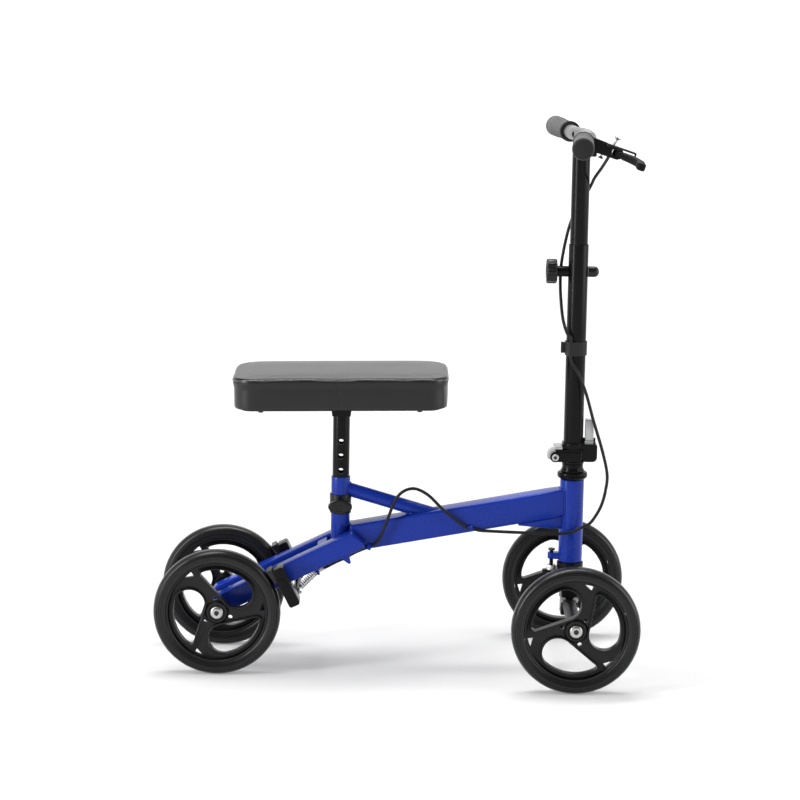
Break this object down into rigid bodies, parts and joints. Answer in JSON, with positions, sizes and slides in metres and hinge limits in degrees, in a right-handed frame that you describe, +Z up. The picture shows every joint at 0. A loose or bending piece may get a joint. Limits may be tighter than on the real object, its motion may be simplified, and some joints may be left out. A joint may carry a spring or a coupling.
{
  "type": "folding knee walker",
  "caption": "Knee walker: padded knee rest on a blue wheeled frame, with a folding steering column, height clamps, and a hand lever that pulls a rear brake by cable.",
  "frame": {"origin": "middle of the bounding box's base, on the floor", "axes": "+X forwards, +Y to the rider's left, +Z up"},
  "size_m": [0.758, 0.4726, 0.862],
  "materials": {
    "brake_cable_lower": "satin black plastic",
    "brake_cable_upper": "satin black plastic",
    "brake_lever": "gloss black paint",
    "brake_pad_left": "matt black rubber",
    "brake_pad_right": "matt black rubber",
    "brake_pivot_shaft": "black oxide steel",
    "brake_spring": "bright zinc or chrome plate",
    "brake_yoke": "gloss black paint",
    "cable_stop": "gloss royal blue paint",
    "cable_strap": "matt black rubber",
    "column_tube": "gloss black paint",
    "fork_post": "gloss black paint",
    "front_axle": "black oxide steel",
    "front_bolt_left": "bright zinc or chrome plate",
    "front_bolt_right": "bright zinc or chrome plate",
    "grip_left": "matt grey foam rubber",
    "grip_right": "matt grey foam rubber",
    "handlebar": "satin bare aluminium",
    "handlebar_post": "gloss black paint",
    "head_gusset": "gloss royal blue paint",
    "head_tube": "gloss royal blue paint",
    "headset_cup_lower": "gloss black paint",
    "headset_cup_upper": "gloss black paint",
    "headset_sleeve": "gloss black paint",
    "height_knob": "satin black plastic",
    "height_nut": "satin black plastic",
    "hinge_base": "gloss black paint",
    "hinge_head": "gloss black paint",
    "hinge_knuckle": "satin bare aluminium",
    "hinge_pin": "bright zinc or chrome plate",
    "latch_lever": "satin bare aluminium",
    "lever_bracket": "gloss black paint",
    "main_tube": "gloss royal blue paint",
    "parking_tab": "black oxide steel",
    "rail_bridge": "gloss royal blue paint",
    "rear_axle": "black oxide steel",
    "rear_bolt_left": "bright zinc or chrome plate",
    "rear_bolt_right": "bright zinc or chrome plate",
    "rear_rail_left": "gloss royal blue paint",
    "rear_rail_right": "gloss royal blue paint",
    "rim_front_left": "satin black plastic",
    "rim_front_right": "satin black plastic",
    "rim_rear_left": "satin black plastic",
    "rim_rear_right": "satin black plastic",
    "seat_board": "satin black plastic",
    "seat_brace": "gloss royal blue paint",
    "seat_bracket": "gloss black paint",
    "seat_clamp_collar": "satin black plastic",
    "seat_knob": "satin black plastic",
    "seat_pad": "smooth black leatherette",
    "seat_post": "gloss black paint",
    "seat_sleeve": "gloss royal blue paint",
    "steerer_tube": "black oxide steel",
    "steering_stop_bolt": "black oxide steel",
    "tyre_front_left": "matt black rubber",
    "tyre_front_right": "matt black rubber",
    "tyre_rear_left": "matt black rubber",
    "tyre_rear_right": "matt black rubber"
  },
  "bodies": {
    "frame": {"main_tube": "main_tube", "rear_rail_right": "rear_rail_right", "rear_rail_left": "rear_rail_left", "rail_bridge": "rail_bridge", "head_tube": "head_tube", "head_gusset": "head_gusset", "steering_stop_bolt": "steering_stop_bolt", "seat_sleeve": "seat_sleeve", "seat_brace": "seat_brace", "headset_cup_upper": "headset_cup_upper", "headset_cup_lower": "headset_cup_lower", "cable_stop": "cable_stop", "brake_pivot_shaft": "brake_pivot_shaft", "seat_clamp_collar": "seat_clamp_collar", "rear_axle": "rear_axle", "rear_bolt_right": "rear_bolt_right", "rear_bolt_left": "rear_bolt_left", "brake_cable_lower": "brake_cable_lower"},
    "fork": {"steerer_tube": "steerer_tube", "fork_post": "fork_post", "front_axle": "front_axle", "front_bolt_right": "front_bolt_right", "front_bolt_left": "front_bolt_left", "headset_sleeve": "headset_sleeve", "hinge_base": "hinge_base", "hinge_pin": "hinge_pin"},
    "column": {"column_tube": "column_tube", "hinge_head": "hinge_head", "hinge_knuckle": "hinge_knuckle", "cable_strap": "cable_strap", "height_nut": "height_nut", "brake_cable_upper": "brake_cable_upper"},
    "latch_lever": {"latch_lever": "latch_lever"},
    "handlebar": {"handlebar": "handlebar", "handlebar_post": "handlebar_post", "grip_right": "grip_right", "grip_left": "grip_left", "lever_bracket": "lever_bracket"},
    "height_knob": {"height_knob": "height_knob"},
    "seat": {"seat_post": "seat_post", "seat_bracket": "seat_bracket", "seat_board": "seat_board", "seat_pad": "seat_pad"},
    "seat_knob": {"seat_knob": "seat_knob"},
    "brake_lever": {"brake_lever": "brake_lever"},
    "parking_tab": {"parking_tab": "parking_tab"},
    "brake_yoke": {"brake_yoke": "brake_yoke", "brake_pad_right": "brake_pad_right", "brake_pad_left": "brake_pad_left", "brake_spring": "brake_spring"},
    "wheel_front_right": {"rim_front_right": "rim_front_right", "tyre_front_right": "tyre_front_right"},
    "wheel_front_left": {"rim_front_left": "rim_front_left", "tyre_front_left": "tyre_front_left"},
    "wheel_rear_right": {"rim_rear_right": "rim_rear_right", "tyre_rear_right": "tyre_rear_right"},
    "wheel_rear_left": {"rim_rear_left": "rim_rear_left", "tyre_rear_left": "tyre_rear_left"}
  },
  "joints": [
    {"name": "steering", "type": "hinge", "parent": "frame", "child": "fork", "pos_m": [0.279, 0, 0.236], "axis": [0, 0, 1], "range_deg": [-40, 40], "deforming": ["brake_cable_lower"]},
    {"name": "column_fold", "type": "hinge", "parent": "fork", "child": "column", "pos_m": [0.2502, 0, 0.3405], "axis": [0, -1, 0], "range_deg": [0, 52], "deforming": ["brake_cable_lower"]},
    {"name": "latch", "type": "hinge", "parent": "column", "child": "latch_lever", "pos_m": [0.30405, 0, 0.367], "axis": [-1, 0, 0], "range_deg": [0, 85]},
    {"name": "handlebar_height", "type": "slide", "parent": "column", "child": "handlebar", "axis": [0, 0, 1], "range_m": [-0.07, 0.14], "deforming": ["brake_cable_upper"]},
    {"name": "height_knob_turn", "type": "hinge", "parent": "column", "child": "height_knob", "pos_m": [0.246, 0, 0.635], "axis": [-1, 0, 0], "range_deg": [0, 720]},
    {"name": "seat_height", "type": "slide", "parent": "frame", "child": "seat", "axis": [0, 0, -1], "range_m": [-0.047, 0.07]},
    {"name": "seat_knob_turn", "type": "hinge", "parent": "frame", "child": "seat_knob", "pos_m": [-0.0888, -0.0175, 0.2585], "axis": [0, -1, 0], "range_deg": [0, 720]},
    {"name": "brake_lever_pull", "type": "hinge", "parent": "handlebar", "child": "brake_lever", "pos_m": [0.32827, -0.09625, 0.8282], "axis": [-0.3081, 0.0239, -0.9511], "range_deg": [0, 14], "stiffness_Nm_per_rad": 0.6},
    {"name": "parking_tab_lift", "type": "hinge", "parent": "handlebar", "child": "parking_tab", "pos_m": [0.31239, -0.09502, 0.84389], "axis": [-0.0773, -0.997, 0], "range_deg": [0, 25]},
    {"name": "brake_pivot", "type": "hinge", "parent": "frame", "child": "brake_yoke", "pos_m": [-0.17797, 0, 0.14993], "axis": [0, -1, 0], "range_deg": [0, 4.3], "deforming": ["brake_spring"]},
    {"name": "wheel_spin_front_right", "type": "hinge", "parent": "fork", "child": "wheel_front_right", "pos_m": [0.279, -0.1675, 0.1], "axis": [0, 1, 0], "continuous": true},
    {"name": "wheel_spin_front_left", "type": "hinge", "parent": "fork", "child": "wheel_front_left", "pos_m": [0.279, 0.1675, 0.1], "axis": [0, 1, 0], "continuous": true},
    {"name": "wheel_spin_rear_right", "type": "hinge", "parent": "frame", "child": "wheel_rear_right", "pos_m": [-0.279, -0.0865, 0.1], "axis": [0, 1, 0], "continuous": true},
    {"name": "wheel_spin_rear_left", "type": "hinge", "parent": "frame", "child": "wheel_rear_left", "pos_m": [-0.279, 0.0865, 0.1], "axis": [0, 1, 0], "continuous": true}
  ],
  "couplings": [
    {"joint": "brake_pivot", "follows": "brake_lever_pull", "ratio": 0.3}
  ]
}
